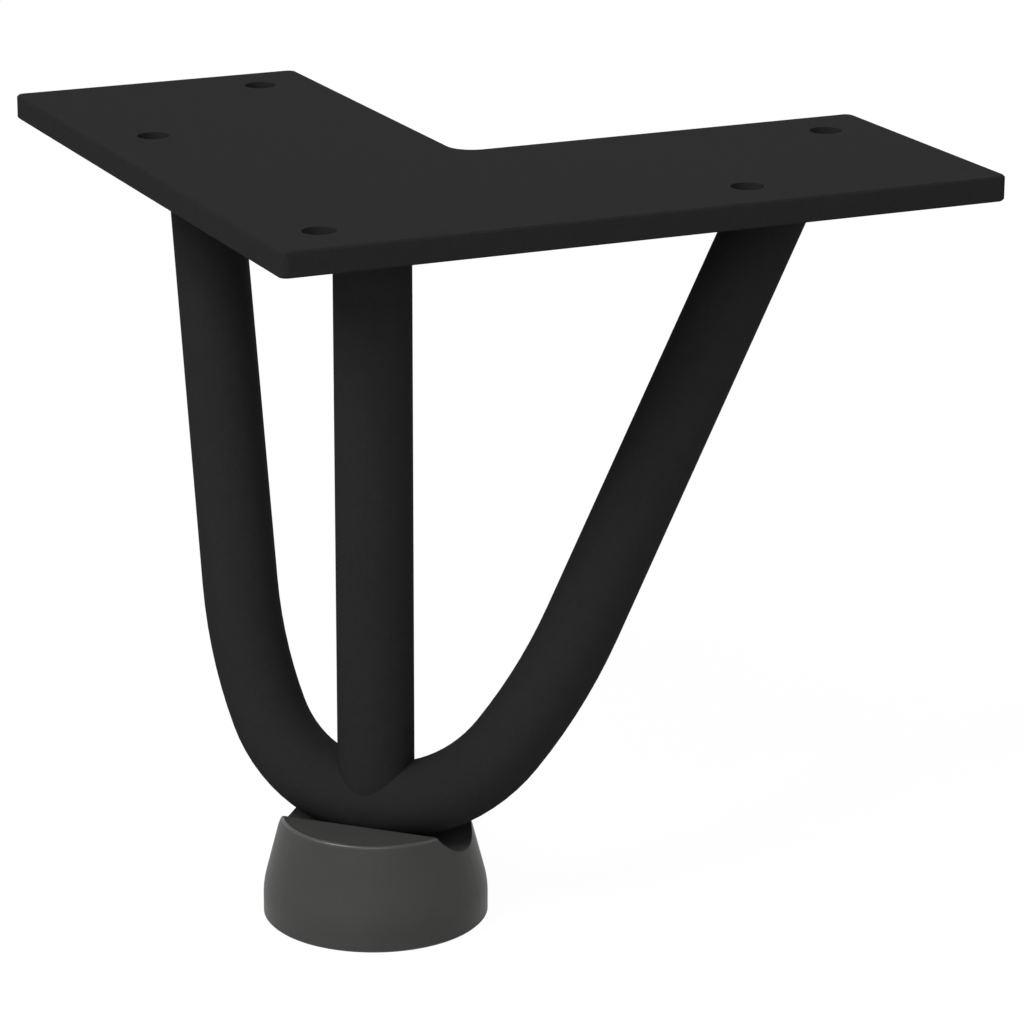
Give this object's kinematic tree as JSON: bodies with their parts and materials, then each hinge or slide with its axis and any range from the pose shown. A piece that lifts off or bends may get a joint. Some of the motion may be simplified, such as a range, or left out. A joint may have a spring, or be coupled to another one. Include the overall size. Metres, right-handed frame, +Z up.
{
  "type": "hairpin table leg",
  "caption": "Short hairpin furniture leg: an L-shaped mounting plate, a bar bent into a U, an upright post and a moulded foot.",
  "frame": {"origin": "on the plate's top face, on the upright axis of the bend and the foot, 24 mm from both outer edges of the L", "axes": "+Z up, square to the plate, towards the table top; +X and +Y along the two arms of the L"},
  "size_m": [0.12, 0.12, 0.114],
  "materials": {
    "powder_black": "matte",
    "foot_grey": "matte"
  },
  "bodies": {
    "root": {"top_plate": "powder_black", "hairpin_rod": "powder_black", "centre_rod": "powder_black", "foot_cap": "foot_grey"}
  },
  "joints": []
}
